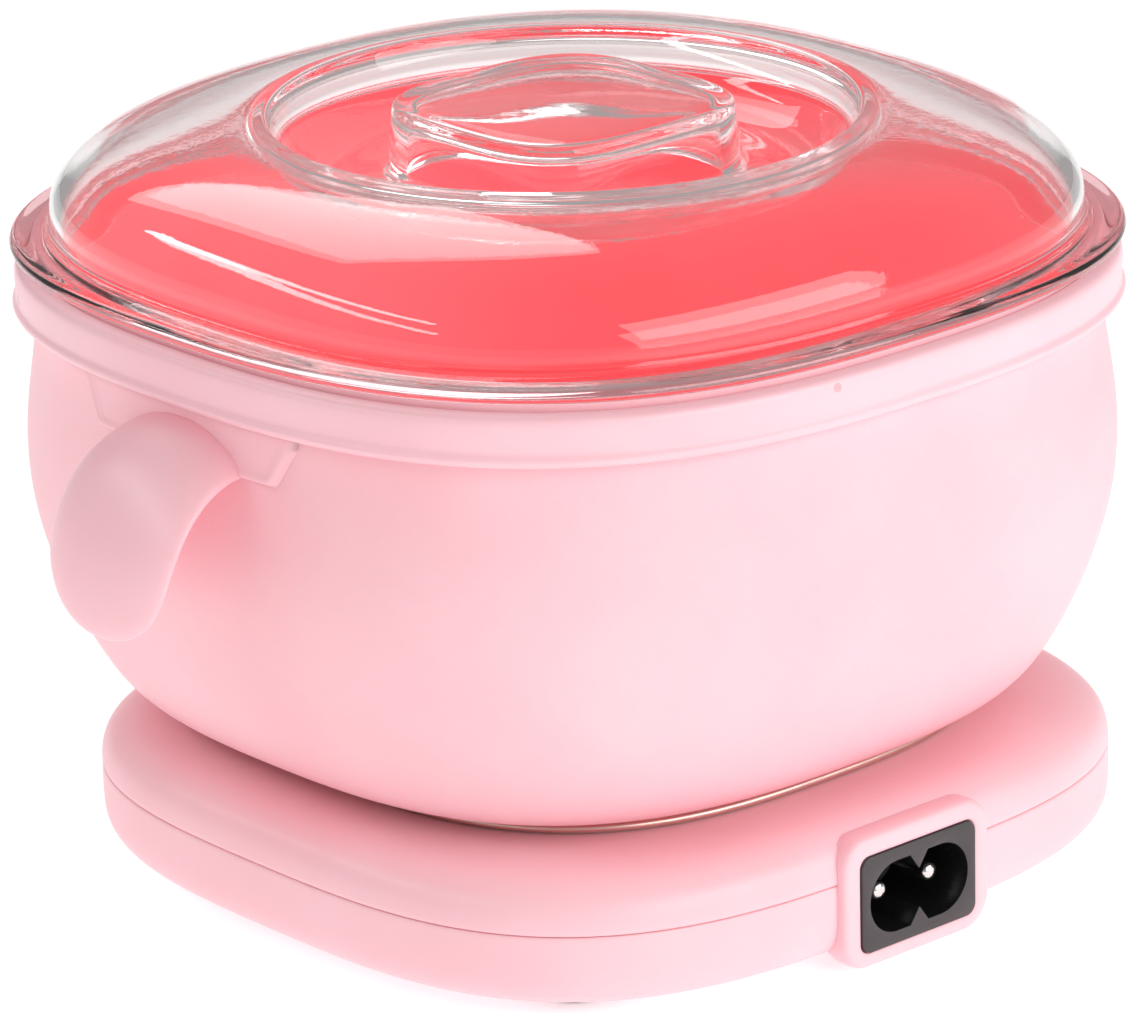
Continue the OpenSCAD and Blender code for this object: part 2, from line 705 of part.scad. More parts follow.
module lid_shell() {
  floor_top = ring_height - 8.2;
  color("azure") loft([pot_ring(4, 2.6, floor_top + 6.9), pot_ring(knob_half - 3.2, 3.2, floor_top + 7.1),
    pot_ring(knob_half - 1.9, 3.5, floor_top + 6.4), pot_ring(knob_half - 1.5, 3.6, floor_top - 0.6),
    pot_ring(knob_half + 0.6, 3.4, floor_top - 1.7), pot_ring(ring_radius - 2.6, 2.05, floor_top - 1.9),
    pot_ring(ring_radius - 0.2, 2, floor_top - 1.2), pot_ring(ring_radius + 0.3, 2, ring_height - 3.0),
    pot_ring(ring_radius + 1.4, 2, ring_height - 2.2), pot_ring(43.4, 2.15, ring_height - 2.5),
    pot_ring(47.6, 2.35, ring_height - 3.4), pot_ring(51.4, 2.5, ring_height - 4.9),
    pot_ring(54.1, 2.6, ring_height - 6.6), pot_ring(56.1, rim_power, ring_height - 8.7),
    pot_ring(57.2, rim_power, ring_height - 10.8), pot_ring(57.5, rim_power, ring_height - 13),
    pot_ring(57.6, rim_power, lid_seat + 1), pot_ring(57.8, rim_power, lid_seat - 3.2),
    pot_ring(59.0, rim_power, lid_seat - 3.2), pot_ring(59.2, rim_power, lid_seat - 2.8),
    pot_ring(59.4, rim_power, lid_seat), pot_ring(rim_half - 0.5, rim_power, lid_seat),
    pot_ring(rim_half, rim_power, lid_seat + 0.5), pot_ring(rim_half - 0.1, rim_power, lid_seat + 1.3),
    pot_ring(rim_half - 0.7, rim_power, lid_seat + 1.9), pot_ring(60.3, rim_power, lid_seat + 2.2),
    pot_ring(59.6, rim_power, lid_seat + 2.8), pot_ring(59.4, rim_power, lid_seat + 4.6),
    pot_ring(59.1, rim_power, ring_height - 9.4), pot_ring(57.9, rim_power, ring_height - 7.0),
    pot_ring(55.7, 2.6, ring_height - 4.8), pot_ring(52.3, 2.5, ring_height - 2.9),
    pot_ring(48.0, 2.35, ring_height - 1.4), pot_ring(43.4, 2.15, ring_height - 0.45),
    pot_ring(ring_radius + 1.4, 2, ring_height), pot_ring(ring_radius, 2, ring_height),
    pot_ring(ring_radius - 1.0, 2, ring_height - 0.6), pot_ring(ring_radius - 1.8, 2, ring_height - 6.9),
    pot_ring(ring_radius - 3.4, 2.05, floor_top), pot_ring(knob_half + 1.2, 3.4, floor_top + 0.1),
    pot_ring(knob_half + 0.3, 3.6, floor_top + 0.9), pot_ring(knob_half, 3.6, floor_top + 8.2),
    pot_ring(knob_half - 0.8, 3.4, floor_top + 9.2), pot_ring(knob_half - 2.2, 3.0, floor_top + 9.1),
    pot_ring(4, 2.6, floor_top + 8.7)]);
}

base_bottom_housing();
base_top_housing();
heating_plate();
plate_gasket();
heater_element();
heater_terminals();
insulation_pad();
clamp_plate();
clamp_screws();
temperature_sensor();
thermal_fuse();
control_board();
board_screws();
film_capacitor();
triac();
terminal_block();
button_board();
push_switch();
status_leds();
led_lenses();
control_bezel();
power_button();
inlet_socket();
inlet_pins();
mains_wires();
heater_wires();
sensor_wires();
housing_screws();
rubber_feet();
pot_shell();
pot_base_insert();
rim_collar();
handle_left();
handle_right();
lid_shell();
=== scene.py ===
import json
import math

import bmesh
import bpy
from mathutils import Matrix, Vector


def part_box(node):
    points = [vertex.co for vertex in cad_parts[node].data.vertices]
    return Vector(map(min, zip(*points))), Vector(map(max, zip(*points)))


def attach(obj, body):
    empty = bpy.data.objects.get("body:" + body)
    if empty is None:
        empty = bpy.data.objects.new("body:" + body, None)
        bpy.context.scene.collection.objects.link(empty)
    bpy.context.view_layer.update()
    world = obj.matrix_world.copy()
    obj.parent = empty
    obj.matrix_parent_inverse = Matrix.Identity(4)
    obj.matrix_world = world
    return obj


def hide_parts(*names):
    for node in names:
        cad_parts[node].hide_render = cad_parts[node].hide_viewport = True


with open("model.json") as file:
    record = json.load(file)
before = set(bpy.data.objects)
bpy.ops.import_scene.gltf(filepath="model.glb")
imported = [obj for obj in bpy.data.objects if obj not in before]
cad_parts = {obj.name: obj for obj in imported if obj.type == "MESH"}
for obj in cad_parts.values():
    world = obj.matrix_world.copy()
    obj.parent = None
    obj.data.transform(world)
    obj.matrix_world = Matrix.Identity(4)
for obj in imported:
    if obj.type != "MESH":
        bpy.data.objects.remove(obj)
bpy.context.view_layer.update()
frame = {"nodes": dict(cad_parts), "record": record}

# Square wax warmer pot on its heated base. Metres, +Z up, origin on the pot's axis at the table.
MM = 0.001
NODES = frame["nodes"]


def node_box(name):
    """Lowest and highest corner of a CAD node, in millimetres."""
    low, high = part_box(name)
    return [v / MM for v in low], [v / MM for v in high]


# ---------- driving sizes in millimetres, from the frame where it gives them ----------

pot_low, pot_high = node_box("pot_shell")
rim_low, rim_high = node_box("rim_collar")
lid_low, lid_high = node_box("lid_shell")
cap_low, cap_high = node_box("base_top_housing")
tray_low, tray_high = node_box("base_bottom_housing")
plate_low, plate_high = node_box("heating_plate")
socket_low, socket_high = node_box("inlet_socket")
bezel_low, bezel_high = node_box("control_bezel")
button_low, button_high = node_box("power_button")
lens_low, lens_high = node_box("led_lenses")

# A POWER is the squareness of a ring: 2 is a circle, and more is squarer.
POT_BOTTOM = pot_low[2]
POT_POWER = 2.8
SKIRT_DROP = 3.2
LID_SEAT = lid_low[2] + SKIRT_DROP
RIM_HALF = rim_high[0]
RIM_POWER = 2.65
KNOB_HALF = 18.5
KNOB_RISE = 1.0
RING_TOP = lid_high[2] - KNOB_RISE
RING_RADIUS = 37.7
WELL_DEPTH = 8.2
BASE_HALF_X = tray_high[0]
BASE_BOTTOM = tray_low[2]
SEAM = tray_high[2]
BASE_TOP = cap_high[2]
BASE_POWER = 3.14
BASE_HALF_Y = BASE_HALF_X - 1.9
BASE_SHIFT = 4.9
PLATE_HALF = plate_high[0]
PLATE_SHIFT = (plate_low[1] + plate_high[1]) / 2
PLATE_TOP = plate_high[2]
INLET_FACE = cap_high[1]
INLET_HEIGHT = (socket_low[2] + socket_high[2]) / 2
BOSS_BOTTOM = cap_low[2]
BOSS_HEIGHT = 17.2
BOSS_WIDTH = 24.8
BOSS_MIDDLE = BOSS_BOTTOM + BOSS_HEIGHT / 2
BUTTON_HEIGHT = (bezel_low[2] + bezel_high[2]) / 2
BUTTON_FACE = bezel_low[1] + 0.5
INLET_WINDOW = (24.0, 16.4, 4)
BUTTON_WINDOW = (28.0, 13.0, 4)
SOCKET_WIDTH, SOCKET_HEIGHT = 19.2, 12.4
RING_POINTS = 64
HOUSING_WALL = 2.0
PLATE_OPENING = 41.2
PLATE_CORE = 40.5
SCREW_X = 47.0
FOOT_RADIUS = 4.9
PIN_OFFSET = 4.3
LIGHT_OFFSET = 9
BEZEL_WIDTH, BEZEL_HEIGHT = 26, 11


# ---------- mesh helpers ----------

def ring_point(half_x, half_y, power, z, shift, turn):
    """Point of a rounded square ring at an angle, in metres."""
    c, s = math.cos(turn), math.sin(turn)
    r = (abs(c / half_x) ** power + abs(s / half_y) ** power) ** (-1 / power)
    return Vector((r * c, shift + r * s, z)) * MM


def ring(half, power, z, shift=0.0, half_y=None, points=RING_POINTS):
    return [ring_point(half, half_y or half, power, z, shift, 2 * math.pi * i / points)
            for i in range(points)]


def base_ring(growth, z):
    return ring(BASE_HALF_X + growth, BASE_POWER, z, BASE_SHIFT, BASE_HALF_Y + growth)


def plate_ring(half, z):
    return ring(half, POT_POWER, z, PLATE_SHIFT)


def frame_ring(width, height, corner, x, y, z, points=48):
    """Rectangle with arcs at its corners, standing in the XZ plane, in metres."""
    out = []
    quarter_points = points // 4
    for i in range(points):
        quarter, step = divmod(i, quarter_points)
        turn = (quarter + (step + 0.5) / quarter_points) * math.pi / 2
        side = 1 if quarter in (0, 3) else -1
        rise = 1 if quarter in (0, 1) else -1
        out.append(Vector((x + side * (width / 2 - corner) + corner * math.cos(turn), y,
                           z + rise * (height / 2 - corner) + corner * math.sin(turn))) * MM)
    return out


def rod_ring(radius, x, y, z, points=48):
    """Circle standing in the XZ plane, in metres."""
    return frame_ring(2 * radius, 2 * radius, radius, x, y, z, points)


def turned(name, profile, points=48):
    """Solid turned about the upright axis from radius and height pairs, in millimetres."""
    return skin(name, [ring(radius, 2, z, points=points) for radius, z in profile])


def new_object(name, data):
    """Object that is linked to the scene."""
    obj = bpy.data.objects.new(name, data)
    bpy.context.scene.collection.objects.link(obj)
    return obj


def new_mesh(name, bm):
    """Mesh from a filled bmesh, which is freed."""
    mesh = bpy.data.meshes.new(name)
    bm.to_mesh(mesh)
    bm.free()
    return mesh


def shade_smooth(obj):
    obj.data.polygons.foreach_set("use_smooth", [True] * len(obj.data.polygons))
    return obj


def skin(name, rings, closed=False, parts=None):
    """Object over a list of rings, with fans at both ends when the rings aren't closed into a loop."""
    bm = bmesh.new()
    rows = [[bm.verts.new(p) for p in row] for row in rings]
    bands = list(zip(rows, rows[1:] + rows[:1])) if closed else list(zip(rows, rows[1:]))
    for index, (low, high) in enumerate(bands):
        for i in range(len(low)):
            j = (i + 1) % len(low)
            face = bm.faces.new((low[i], low[j], high[j], high[i]))
            face.material_index = parts(index) if parts else 0
    if not closed:
        for row, index in ((rows[0], 0), (rows[-1], len(bands) - 1)):
            middle = bm.verts.new(sum((v.co for v in row), Vector()) / len(row))
            for i in range(len(row)):
                face = bm.faces.new((row[i], row[(i + 1) % len(row)], middle))
                face.material_index = parts(index) if parts else 0
    bmesh.ops.recalc_face_normals(bm, faces=bm.faces)
    return shade_smooth(new_object(name, new_mesh(name, bm)))


def settle(obj):
    """Turns an object with modifiers into a plain mesh."""
    graph = bpy.context.evaluated_depsgraph_get()
    mesh = bpy.data.meshes.new_from_object(obj.evaluated_get(graph))
    obj.modifiers.clear()
    old = obj.data
    obj.data = mesh
    bpy.data.meshes.remove(old)
    return obj


def smooth(obj, levels=2):
    sub = obj.modifiers.new("subdivide", "SUBSURF")
    sub.levels = sub.render_levels = levels
    return settle(obj)


def cut(obj, cutters):
    """Takes cutters out of a plain mesh and deletes them."""
    for cutter in cutters:
        mod = obj.modifiers.new("cut", "BOOLEAN")
        mod.operation = "DIFFERENCE"
        mod.solver = "EXACT"
        mod.object = cutter
    settle(obj)
    for cutter in cutters:
        bpy.data.objects.remove(cutter)
    return obj


def block_cutter(width, height, corner, x, z, y0, y1):
    return skin("cutter", [frame_ring(width, height, corner, x, y, z) for y in (y0, y1)])


def rod_cutter(radius, x, z, y0, y1):
    return skin("cutter", [rod_ring(radius, x, y, z) for y in (y0, y1)])


def crisp(obj, width=0.15, angle=35):
    """Small rounded edges, with flat faces kept flat."""
    bevel = obj.modifiers.new("edges", "BEVEL")
    bevel.width = width * MM
    bevel.segments = 2
    bevel.angle_limit = math.radians(angle)
    shade_smooth(settle(obj))
    obj.data.set_sharp_from_angle(angle=math.radians(angle))
    return obj


def join(name, objects):
    """One plain mesh from several, with their material indices kept."""
    bm = bmesh.new()
    for obj in objects:
        bm.from_mesh(obj.data)
        bpy.data.objects.remove(obj)
    return new_object(name, new_mesh(name, bm))


def corners_tree():
    """Node tree that puts one item at the four corners of a rectangle."""
    tree = bpy.data.node_groups.new("at_four_corners", "GeometryNodeTree")
    face = tree.interface
    face.new_socket("Item", in_out="INPUT", socket_type="NodeSocketObject")
    face.new_socket("Across", in_out="INPUT", socket_type="NodeSocketFloat")
    face.new_socket("Along", in_out="INPUT", socket_type="NodeSocketFloat")
    face.new_socket("Middle", in_out="INPUT", socket_type="NodeSocketVector")
    face.new_socket("Finish", in_out="INPUT", socket_type="NodeSocketMaterial")
    face.new_socket("Geometry", in_out="OUTPUT", socket_type="NodeSocketGeometry")
    source, result = tree.nodes.new("NodeGroupInput"), tree.nodes.new("NodeGroupOutput")
    grid = node(tree, "GeometryNodeMeshGrid", {
        "Size X": source.outputs["Across"], "Size Y": source.outputs["Along"],
        "Vertices X": 2, "Vertices Y": 2})
    moved = node(tree, "GeometryNodeTransform", {"Geometry": grid.outputs["Mesh"],
                                                 "Translation": source.outputs["Middle"]})
    item = node(tree, "GeometryNodeObjectInfo", {"Object": source.outputs["Item"]})
    spots = node(tree, "GeometryNodeInstanceOnPoints", {
        "Points": moved.outputs["Geometry"], "Instance": item.outputs["Geometry"]})
    real = node(tree, "GeometryNodeRealizeInstances", {"Geometry": spots.outputs["Instances"]})
    dressed = node(tree, "GeometryNodeSetMaterial", {"Geometry": real.outputs["Geometry"],
                                                     "Material": source.outputs["Finish"]})
    tree.links.new(dressed.outputs["Geometry"], result.inputs["Geometry"])
    return tree


def at_four_corners(name, item, across, along, middle, material):
    """Copies of an item at four corners, as one plain mesh."""
    obj = new_object(name, bpy.data.meshes.new(name))
    mod = obj.modifiers.new("corners", "NODES")
    mod.node_group = CORNERS
    values = {"Item": item, "Across": across * MM, "Along": along * MM,
              "Middle": Vector(middle) * MM, "Finish": material}
    for socket in CORNERS.interface.items_tree:
        if socket.in_out == "INPUT":
            mod[socket.identifier] = values[socket.name]
    settle(obj)
    bpy.data.objects.remove(item)
    obj.data.materials.clear()
    return obj


def place(obj, body, materials, nodes=()):
    """Gives a finished piece its finish and body, and hides the CAD nodes it stands for."""
    for material in materials:
        obj.data.materials.append(material)
    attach(obj, body)
    if nodes:
        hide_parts(*nodes)
    return obj


# ---------- shader groups ----------

def new_group(name, inputs, outputs):
    tree = bpy.data.node_groups.new(name, "ShaderNodeTree")
    for label, kind, value in inputs:
        socket = tree.interface.new_socket(label, in_out="INPUT", socket_type=kind)
        socket.default_value = value
    for label, kind in outputs:
        tree.interface.new_socket(label, in_out="OUTPUT", socket_type=kind)
    return tree, tree.nodes.new("NodeGroupInput"), tree.nodes.new("NodeGroupOutput")


def node(tree, kind, links=None, **values):
    """Adds a node, sets its properties and plugs sockets, given by name or number."""
    made = tree.nodes.new(kind)
    for key, value in values.items():
        setattr(made, key, value)
    for key, value in (links or {}).items():
        socket = made.inputs[key]
        if isinstance(value, bpy.types.NodeSocket):
            tree.links.new(value, socket)
        else:
            socket.default_value = value
    return made


def tone_group():
    """Slow drift between two tones of one colour, with fine speckle in the pigment."""
    tree, source, result = new_group("tone_drift", [
        ("Light", "NodeSocketColor", (1, 1, 1, 1)), ("Deep", "NodeSocketColor", (0, 0, 0, 1)),
        ("Patch", "NodeSocketFloat", 40.0), ("Speckle", "NodeSocketFloat", 0.1)],
        [("Color", "NodeSocketColor"), ("Mask", "NodeSocketFloat")])
    at = node(tree, "ShaderNodeTexCoord").outputs["Object"]
    slow = node(tree, "ShaderNodeTexNoise", {"Vector": at, "Scale": source.outputs["Patch"],
                                             "Detail": 3.0, "Roughness": 0.5})
    fine = node(tree, "ShaderNodeTexNoise", {"Vector": at, "Scale": 1900.0, "Detail": 2.0})
    spread = node(tree, "ShaderNodeMath", {0: fine.outputs["Fac"], 1: source.outputs["Speckle"]},
                  operation="MULTIPLY")
    both = node(tree, "ShaderNodeMath", {0: slow.outputs["Fac"], 1: spread.outputs[0]}, operation="ADD")
    span = node(tree, "ShaderNodeMapRange", {"Value": both.outputs[0], "From Min": 0.35, "From Max": 0.75})
    mix = node(tree, "ShaderNodeMix", {"Factor": span.outputs["Result"], "A": source.outputs["Light"],
                                       "B": source.outputs["Deep"]}, data_type="RGBA")
    tree.links.new(mix.outputs["Result"], result.inputs["Color"])
    tree.links.new(span.outputs["Result"], result.inputs["Mask"])
    return tree


def grain_group():
    """Moulded surface: fine grain and faint waviness, as a height."""
    tree, source, result = new_group("moulded_grain", [
        ("Grain", "NodeSocketFloat", 2200.0), ("Wave", "NodeSocketFloat", 45.0),
        ("Wave Share", "NodeSocketFloat", 0.4)],
        [("Height", "NodeSocketFloat"), ("Roughness Mask", "NodeSocketFloat")])
    at = node(tree, "ShaderNodeTexCoord").outputs["Object"]
    fine = node(tree, "ShaderNodeTexNoise", {"Vector": at, "Scale": source.outputs["Grain"],
                                             "Detail": 3.0, "Roughness": 0.6})
    wave = node(tree, "ShaderNodeTexNoise", {"Vector": at, "Scale": source.outputs["Wave"], "Detail": 1.0})
    blend = node(tree, "ShaderNodeMix", {"Factor": source.outputs["Wave Share"],
                                         "A": fine.outputs["Fac"], "B": wave.outputs["Fac"]})
    tree.links.new(blend.outputs["Result"], result.inputs["Height"])
    tree.links.new(fine.outputs["Fac"], result.inputs["Roughness Mask"])
    return tree


def speck_group():
    """Sparse dust specks and scuffs, as a mask from 0 to 1."""
    tree, source, result = new_group("dust_specks", [
        ("Spacing", "NodeSocketFloat", 90.0), ("Size", "NodeSocketFloat", 0.06)],
        [("Mask", "NodeSocketFloat")])
    at = node(tree, "ShaderNodeTexCoord").outputs["Object"]
    cells = node(tree, "ShaderNodeTexVoronoi", {"Vector": at, "Scale": source.outputs["Spacing"]})
    near = node(tree, "ShaderNodeMath", {0: cells.outputs["Distance"], 1: source.outputs["Size"]},
                operation="LESS_THAN")
    pick = node(tree, "ShaderNodeSeparateColor", {"Color": cells.outputs["Color"]})
    rare = node(tree, "ShaderNodeMath", {0: pick.outputs["Red"], 1: 0.86}, operation="GREATER_THAN")
    mask = node(tree, "ShaderNodeMath", {0: near.outputs[0], 1: rare.outputs[0]}, operation="MULTIPLY")
    tree.links.new(mask.outputs[0], result.inputs["Mask"])
    return tree


def brush_group():
    """Brushed metal: long streaks one way, as a height and a tone mask."""
    tree, source, result = new_group("brushed_streaks", [
        ("Along", "NodeSocketVector", (40.0, 40.0, 4000.0))],
        [("Height", "NodeSocketFloat"), ("Tone", "NodeSocketFloat")])
    at = node(tree, "ShaderNodeTexCoord").outputs["Object"]
    stretch = node(tree, "ShaderNodeMapping", {"Vector": at, "Scale": source.outputs["Along"]})
    streak = node(tree, "ShaderNodeTexNoise", {"Vector": stretch.outputs["Vector"], "Scale": 1.0,
                                               "Detail": 4.0, "Roughness": 0.7})
    tree.links.new(streak.outputs["Fac"], result.inputs["Height"])
    tree.links.new(streak.outputs["Fac"], result.inputs["Tone"])
    return tree


GROUPS = {"tone": tone_group(), "grain": grain_group(), "speck": speck_group(), "brush": brush_group()}


# ---------- materials ----------

def new_material(name, **fixed):
    """Material with a Principled shader whose constant sockets are set by name."""
    material = bpy.data.materials.new(name)
    material.use_nodes = True
    tree = material.node_tree
    shader = tree.nodes["Principled BSDF"]
    for key, value in fixed.items():
        shader.inputs[key.replace("_", " ")].default_value = value
    return material, tree, shader


def use(tree, group, **values):
    made = node(tree, "ShaderNodeGroup", node_tree=GROUPS[group])
    for key, value in values.items():
        made.inputs[key.replace("_", " ")].default_value = value
    return made


def moulded(name, light, deep, rough=0.4, rough_span=0.08, bump=0.03, grain=2200.0, wave_share=0.35,
            patch=35.0, speckle=0.12, dust=0.0, **fixed):
    """Moulded plastic or rubber: drifting pigment, moulded grain and a little dust."""
    material, tree, shader = new_material(name, **fixed)
    tone = use(tree, "tone", Light=(*light, 1), Deep=(*deep, 1), Patch=patch, Speckle=speckle)
    colour = tone.outputs["Color"]
    surface = use(tree, "grain", Grain=grain, Wave_Share=wave_share)
    if dust:
        speck = use(tree, "speck", Spacing=dust)
        darker = node(tree, "ShaderNodeMath", {0: speck.outputs["Mask"], 1: 0.35}, operation="MULTIPLY")
        spotted = node(tree, "ShaderNodeMix", {"Factor": darker.outputs[0], "A": colour,
                                               "B": (0.25, 0.16, 0.14, 1)}, data_type="RGBA")
        colour = spotted.outputs["Result"]
    tree.links.new(colour, shader.inputs["Base Color"])
    span = node(tree, "ShaderNodeMapRange", {"Value": surface.outputs["Roughness Mask"],
                                             "To Min": rough - rough_span, "To Max": rough + rough_span})
    tree.links.new(span.outputs["Result"], shader.inputs["Roughness"])
    relief = node(tree, "ShaderNodeBump", {"Height": surface.outputs["Height"], "Strength": bump,
                                           "Distance": 0.0004})
    tree.links.new(relief.outputs["Normal"], shader.inputs["Normal"])
    return material


def metal(name, light, deep, rough=0.3, along=(40.0, 40.0, 4000.0), bump=0.12, **fixed):
    """Brushed or drawn metal with streaks in tone, roughness and relief."""
    material, tree, shader = new_material(name, Metallic=1.0, **fixed)
    streak = use(tree, "brush", Along=along)
    mix = node(tree, "ShaderNodeMix", {"Factor": streak.outputs["Tone"], "A": (*light, 1),
                                       "B": (*deep, 1)}, data_type="RGBA")
    tree.links.new(mix.outputs["Result"], shader.inputs["Base Color"])
    span = node(tree, "ShaderNodeMapRange", {"Value": streak.outputs["Tone"],
                                             "To Min": rough - 0.08, "To Max": rough + 0.12})
    tree.links.new(span.outputs["Result"], shader.inputs["Roughness"])
    relief = node(tree, "ShaderNodeBump", {"Height": streak.outputs["Height"], "Strength": bump,
                                           "Distance": 0.0002})
    tree.links.new(relief.outputs["Normal"], shader.inputs["Normal"])
    return material


def clear_plastic():
    """Polished clear lid with faint flow lines from moulding, and a painted pink reflection on its thick
    rim.
    """
    material, tree, shader = new_material("lid_clear", Metallic=0.0, IOR=1.49, Transmission_Weight=1.0)
    tone = use(tree, "tone", Light=(0.995, 0.985, 0.985, 1), Deep=(0.985, 0.96, 0.96, 1), Patch=18.0,
               Speckle=0.0)
    # painted reflection: the thick rim near the seat is tinted pink, standing in for the pot's colour
    # refracted and mirrored in it
    at = node(tree, "ShaderNodeTexCoord").outputs["Object"]
    height = node(tree, "ShaderNodeSeparateXYZ", {"Vector": at}).outputs["Z"]
    rim = node(tree, "ShaderNodeMapRange", {
        "Value": height, "From Min": (LID_SEAT + 5) * MM, "From Max": (LID_SEAT + 1.5) * MM},
        interpolation_type="SMOOTHSTEP")
    painted_rim_reflection = node(tree, "ShaderNodeMix", {"Factor": rim.outputs["Result"], "A": tone.outputs["Color"],
                                        "B": (1.0, 0.60, 0.63, 1)}, data_type="RGBA")
    tree.links.new(painted_rim_reflection.outputs["Result"], shader.inputs["Base Color"])
    surface = use(tree, "grain", Grain=420.0, Wave=38.0, Wave_Share=0.85)
    span = node(tree, "ShaderNodeMapRange", {"Value": surface.outputs["Roughness Mask"],
                                             "To Min": 0.0, "To Max": 0.03})
    tree.links.new(span.outputs["Result"], shader.inputs["Roughness"])
    relief = node(tree, "ShaderNodeBump", {"Height": surface.outputs["Height"], "Strength": 0.05,
                                           "Distance": 0.001})
    tree.links.new(relief.outputs["Normal"], shader.inputs["Normal"])
    # light on its way to the pot passes straight through the thin wall
    path = node(tree, "ShaderNodeLightPath")
    either = node(tree, "ShaderNodeMath", {
        0: path.outputs["Is Shadow Ray"], 1: path.outputs["Is Diffuse Ray"]}, operation="MAXIMUM")
    clear = node(tree, "ShaderNodeBsdfTransparent", {"Color": (0.97, 0.95, 0.95, 1)})
    blend = node(tree, "ShaderNodeMixShader", {0: either.outputs[0], 1: shader.outputs["BSDF"],
                                               2: clear.outputs["BSDF"]})
    tree.links.new(blend.outputs["Shader"], tree.nodes["Material Output"].inputs["Surface"])
    return material


def make_materials():
    soft = dict(Subsurface_Weight=0.25, Subsurface_Radius=(1.0, 0.35, 0.3), Subsurface_Scale=0.003)
    firm = dict(Subsurface_Weight=0.12, Subsurface_Radius=(1.0, 0.4, 0.35), Subsurface_Scale=0.002)
    return {
        "pot_silicone": moulded("pot_silicone", (1.0, 0.60, 0.65), (0.97, 0.53, 0.585), 0.42, dust=85.0,
            **soft),
        # pot_inside is painted light: a deeper coral copy of the silicone that stands in for light bouncing
        # inside the bowl, with a painted glow for light shining through the walls
        "pot_inside": moulded("pot_inside", (1.0, 0.23, 0.265), (0.98, 0.18, 0.215), 0.35,
            Emission_Color=(1.0, 0.16, 0.19, 1), Emission_Strength=0.22, **soft),
        "collar_plastic": moulded("collar_plastic", (1.0, 0.62, 0.67), (0.98, 0.56, 0.62), 0.36,
            dust=70.0, **firm),
        "handle_plastic": moulded("handle_plastic", (1.0, 0.60, 0.65), (0.98, 0.54, 0.60), 0.38, **firm),
        "base_plastic": moulded("base_plastic", (1.0, 0.62, 0.67), (0.98, 0.56, 0.61), 0.40, dust=80.0,
            **firm),
        "bezel_white": moulded("bezel_white", (0.86, 0.80, 0.80), (0.80, 0.74, 0.74), 0.22),
        "button_white": moulded("button_white", (0.92, 0.88, 0.88), (0.86, 0.82, 0.82), 0.35),
        "socket_grey": moulded("socket_grey", (0.060, 0.052, 0.055), (0.042, 0.037, 0.040), 0.42,
            bump=0.08),
        # socket_black is a near-black copy of socket_grey for the inlet's cavity: painted shade in the
        # recess
        "socket_black": moulded("socket_black", (0.008, 0.008, 0.008), (0.004, 0.004, 0.004), 0.30,
            bump=0.05),
        "black_plastic": moulded("black_plastic", (0.02, 0.02, 0.02), (0.012, 0.012, 0.012), 0.45),
        "seal_silicone": moulded("seal_silicone", (0.82, 0.78, 0.76), (0.72, 0.68, 0.66), 0.5, **soft),
        "mica": moulded("mica", (0.55, 0.40, 0.22), (0.36, 0.25, 0.13), 0.35, patch=160.0, bump=0.1),
        "fibre_pad": moulded("fibre_pad", (0.86, 0.84, 0.78), (0.70, 0.68, 0.62), 0.9, bump=0.5,
            grain=900.0, patch=400.0),
        "board_green": moulded("board_green", (0.02, 0.16, 0.06), (0.012, 0.10, 0.035), 0.3, patch=300.0),
        "capacitor_blue": moulded("capacitor_blue", (0.03, 0.08, 0.36), (0.02, 0.055, 0.26), 0.3),
        "terminal_green": moulded("terminal_green", (0.03, 0.26, 0.14), (0.02, 0.19, 0.10), 0.4),
        "led_resin": moulded("led_resin", (0.95, 0.92, 0.86), (0.88, 0.84, 0.78), 0.25, **firm),
        "wire_brown": moulded("wire_brown", (0.10, 0.04, 0.02), (0.07, 0.028, 0.014), 0.4),
        "wire_white": moulded("wire_white", (0.82, 0.80, 0.76), (0.72, 0.70, 0.66), 0.45),
        "wire_black": moulded("wire_black", (0.015, 0.015, 0.015), (0.01, 0.01, 0.01), 0.4),
        "foot_rubber": moulded("foot_rubber", (0.09, 0.08, 0.08), (0.06, 0.055, 0.055), 0.75, bump=0.3,
            grain=1300.0),
        "plate_metal": metal("plate_metal", (0.84, 0.66, 0.58), (0.64, 0.48, 0.42), 0.30,
            (60.0, 60.0, 5200.0)),
        "insert_metal": metal("insert_metal", (0.82, 0.82, 0.82), (0.66, 0.66, 0.66), 0.28,
            (1500.0, 60.0, 60.0)),
        "zinc_steel": metal("zinc_steel", (0.70, 0.72, 0.74), (0.52, 0.54, 0.56), 0.32,
            (900.0, 900.0, 900.0)),
        "sensor_metal": metal("sensor_metal", (0.78, 0.76, 0.72), (0.60, 0.58, 0.54), 0.34,
            (900.0, 60.0, 900.0)),
        "terminal_brass": metal("terminal_brass", (0.78, 0.56, 0.22), (0.60, 0.42, 0.15), 0.3,
            (900.0, 60.0, 900.0)),
        "pin_nickel": metal("pin_nickel", (0.86, 0.85, 0.83), (0.70, 0.69, 0.67), 0.14,
            (1400.0, 60.0, 1400.0), 0.04),
        "lid_clear": clear_plastic(),
    }


FINISH = make_materials()
CORNERS = corners_tree()


def dress_cad_nodes():
    """Every CAD node gets the finish that its slot names."""
    for entry in frame["record"]["subparts"]:
        obj = NODES[entry["node"]]
        obj.data.materials.clear()
        obj.data.materials.append(FINISH[entry["material_slot"]])


# ---------- pot ----------

